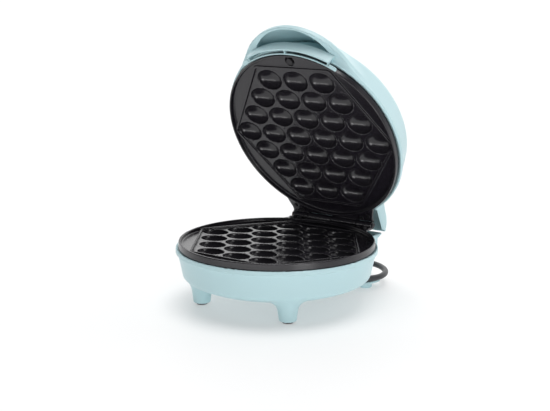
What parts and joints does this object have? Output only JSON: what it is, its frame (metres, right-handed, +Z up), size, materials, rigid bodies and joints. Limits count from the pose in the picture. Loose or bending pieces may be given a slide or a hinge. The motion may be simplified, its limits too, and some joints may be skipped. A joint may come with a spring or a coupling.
{
  "type": "bubble waffle maker",
  "caption": "Round table-top bubble-waffle maker: hinged lid with visor handle, two non-stick plates of egg-shaped cavities, bowl base on feet, cord tray and lead.",
  "frame": {"origin": "on the floor, below the middle of the open appliance's bounding box without its lead, 16.8 mm behind the axis of the round base", "axes": "+X to the appliance's right seen from the front, +Y to the rear where the hinge is, +Z up"},
  "size_m": [0.2142, 0.3286, 0.2756],
  "materials": {
    "aqua_plastic": "satin moulded plastic, pastel aqua",
    "plate_coating": "dark semi-gloss non-stick coating on cast aluminium",
    "rubber": "dark matt rubber",
    "cord_sheath": "dark grey smooth cable sheath",
    "black_plastic": "black moulded plastic",
    "steel": "plated steel",
    "reflector_sheet": "bright rolled aluminium sheet",
    "copper_clip": "copper-coloured clip",
    "brass": "plain brass",
    "cream_plastic": "cream heat-resistant plastic",
    "red_lens": "translucent red plastic",
    "green_lens": "translucent green plastic",
    "wire_sleeve": "heat-resistant wire sleeve"
  },
  "bodies": {
    "base": {"base_casing": "aqua_plastic", "cord_tray": "aqua_plastic", "front_foot_pads": "rubber", "rear_foot_pads": "rubber", "lower_plate": "plate_coating", "lower_heating_element": "steel", "lower_reflector": "reflector_sheet", "thermostat": "cream_plastic", "lower_thermal_fuse": "cream_plastic", "terminal_block": "cream_plastic", "base_wires": "wire_sleeve", "earth_screw": "steel", "lower_plate_screws": "steel", "tray_screws": "steel", "lower_hinge_screws": "steel", "hinge_pin": "steel", "pin_clips": "copper_clip", "strain_relief": "rubber", "mains_lead": "cord_sheath", "lead_coil": "cord_sheath", "coil_tie": "black_plastic", "plug_lead": "cord_sheath", "plug_body": "black_plastic", "plug_pins": "brass"},
    "lid": {"lid_casing": "aqua_plastic", "front_collar": "aqua_plastic", "upper_plate": "plate_coating", "upper_heating_element": "steel", "upper_reflector": "reflector_sheet", "upper_thermal_fuse": "cream_plastic", "lamp_holder": "cream_plastic", "power_lamp_lens": "red_lens", "ready_lamp_lens": "green_lens", "upper_plate_screws": "steel", "upper_hinge_screws": "steel", "lid_wires": "wire_sleeve"}
  },
  "joints": [
    {"name": "lid_hinge", "type": "hinge", "parent": "base", "child": "lid", "pos_m": [0, 0.0867, 0.0645], "axis": [-1, 0, 0], "range_deg": [-63.4, 34.6]}
  ]
}
